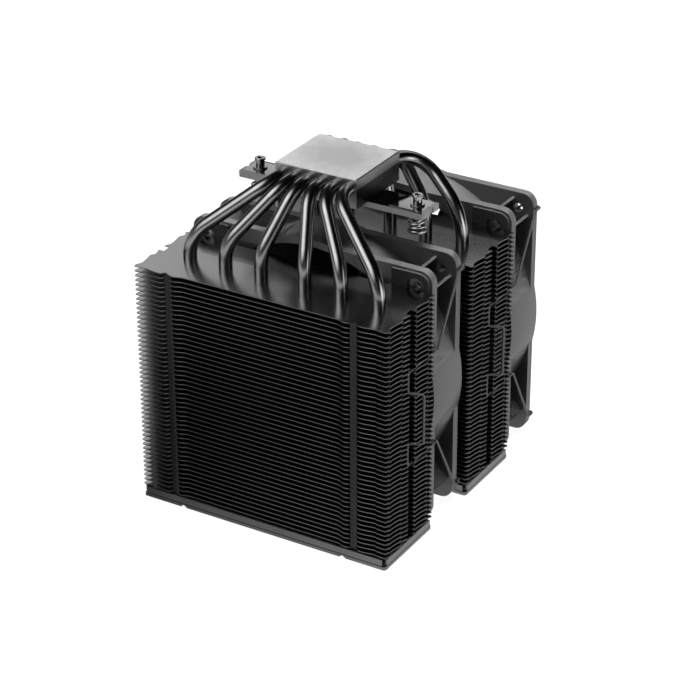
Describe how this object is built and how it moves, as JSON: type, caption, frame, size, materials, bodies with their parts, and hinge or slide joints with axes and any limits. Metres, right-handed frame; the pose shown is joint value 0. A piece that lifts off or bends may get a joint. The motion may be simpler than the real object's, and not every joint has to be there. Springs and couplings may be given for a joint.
{
  "type": "cpu tower cooler",
  "caption": "Dual-tower heat-pipe air cooler for a computer processor, with a fan behind each fin tower, wire fan clips, a flat contact base and a cross bar with captive spring screws.",
  "frame": {"origin": "centre of the processor contact face", "axes": "+Z out of the contact face, X along the width of the towers, +Y from the front tower to the rear tower, the way the air flows"},
  "size_m": [0.1348, 0.1419, 0.154],
  "materials": {
    "nickel_plate": "nickel-plated copper, fine milled",
    "base_metal": "nickel-plated, satin",
    "black_nickel_pipe": "black nickel, gloss",
    "fin_black": "black coated, semi-gloss",
    "cap_black": "black anodised, satin",
    "bar_steel": "black nickel, satin",
    "plated_screw": "bright plated",
    "spring_steel": "bright plated",
    "fan_plastic": "moulded, fine grain",
    "pad_rubber": "matte",
    "rotor_plastic": "moulded, satin",
    "motor_steel": "plain",
    "magnet": "sintered, dull",
    "bronze": "sintered bronze",
    "copper_winding": "enamelled wire",
    "board": "solder mask",
    "label": "satin film, blank",
    "black_wire": "black coated, satin"
  },
  "bodies": {
    "cooler": {"base_plate": "nickel_plate", "base_block": "base_metal", "heatpipe_1": "black_nickel_pipe", "heatpipe_2": "black_nickel_pipe", "heatpipe_3": "black_nickel_pipe", "heatpipe_4": "black_nickel_pipe", "heatpipe_5": "black_nickel_pipe", "heatpipe_6": "black_nickel_pipe", "mounting_bar": "bar_steel", "bar_screws": "plated_screw", "left_screw_spring": "spring_steel", "right_screw_spring": "spring_steel", "front_fins": "fin_black", "front_end_tray": "cap_black", "front_cap": "cap_black", "front_fan_frame": "fan_plastic", "front_fan_pads": "pad_rubber", "front_fan_bearing": "bronze", "front_fan_stator_core": "motor_steel", "front_fan_stator_coils": "copper_winding", "front_fan_circuit_board": "board", "front_fan_hub_label": "label", "rear_fins": "fin_black", "rear_end_tray": "cap_black", "rear_cap": "cap_black", "rear_fan_frame": "fan_plastic", "rear_fan_pads": "pad_rubber", "rear_fan_bearing": "bronze", "rear_fan_stator_core": "motor_steel", "rear_fan_stator_coils": "copper_winding", "rear_fan_circuit_board": "board", "rear_fan_hub_label": "label"},
    "front_rotor": {"front_fan_rotor": "rotor_plastic", "front_fan_rotor_yoke": "motor_steel", "front_fan_magnet_ring": "magnet", "front_fan_shaft": "motor_steel"},
    "front_clip_left": {"front_fan_clip_left": "black_wire"},
    "front_clip_right": {"front_fan_clip_right": "black_wire"},
    "rear_rotor": {"rear_fan_rotor": "rotor_plastic", "rear_fan_rotor_yoke": "motor_steel", "rear_fan_magnet_ring": "magnet", "rear_fan_shaft": "motor_steel"},
    "rear_clip_left": {"rear_fan_clip_left": "black_wire"},
    "rear_clip_right": {"rear_fan_clip_right": "black_wire"},
    "left_screw_lift": {"left_retaining_clip": "spring_steel"},
    "left_screw": {"left_spring_screw": "plated_screw"},
    "right_screw_lift": {"right_retaining_clip": "spring_steel"},
    "right_screw": {"right_spring_screw": "plated_screw"}
  },
  "joints": [
    {"name": "front_fan_spin", "type": "hinge", "parent": "cooler", "child": "front_rotor", "pos_m": [0, -0.0108, -0.0918], "axis": [0, 1, 0], "continuous": true},
    {"name": "front_clip_left_swing", "type": "hinge", "parent": "cooler", "child": "front_clip_left", "pos_m": [-0.0525, 0.0017, -0.0918], "axis": [0, 0, 1], "range_deg": [-12, 0]},
    {"name": "front_clip_right_swing", "type": "hinge", "parent": "cooler", "child": "front_clip_right", "pos_m": [0.0525, 0.0017, -0.0918], "axis": [0, 0, 1], "range_deg": [0, 12]},
    {"name": "rear_fan_spin", "type": "hinge", "parent": "cooler", "child": "rear_rotor", "pos_m": [0, 0.0613, -0.0918], "axis": [0, 1, 0], "continuous": true},
    {"name": "rear_clip_left_swing", "type": "hinge", "parent": "cooler", "child": "rear_clip_left", "pos_m": [-0.0525, 0.0738, -0.0918], "axis": [0, 0, 1], "range_deg": [-18, 0]},
    {"name": "rear_clip_right_swing", "type": "hinge", "parent": "cooler", "child": "rear_clip_right", "pos_m": [0.0525, 0.0738, -0.0918], "axis": [0, 0, 1], "range_deg": [0, 18]},
    {"name": "left_screw_press", "type": "slide", "parent": "cooler", "child": "left_screw_lift", "axis": [0, 0, 1], "range_m": [0, 0.003], "deforming": ["left_screw_spring"]},
    {"name": "left_screw_turn", "type": "hinge", "parent": "left_screw_lift", "child": "left_screw", "pos_m": [-0.0395, 0, -0.0168], "axis": [0, 0, 1], "continuous": true},
    {"name": "right_screw_press", "type": "slide", "parent": "cooler", "child": "right_screw_lift", "axis": [0, 0, 1], "range_m": [0, 0.003], "deforming": ["right_screw_spring"]},
    {"name": "right_screw_turn", "type": "hinge", "parent": "right_screw_lift", "child": "right_screw", "pos_m": [0.0395, 0, -0.0168], "axis": [0, 0, 1], "continuous": true}
  ]
}
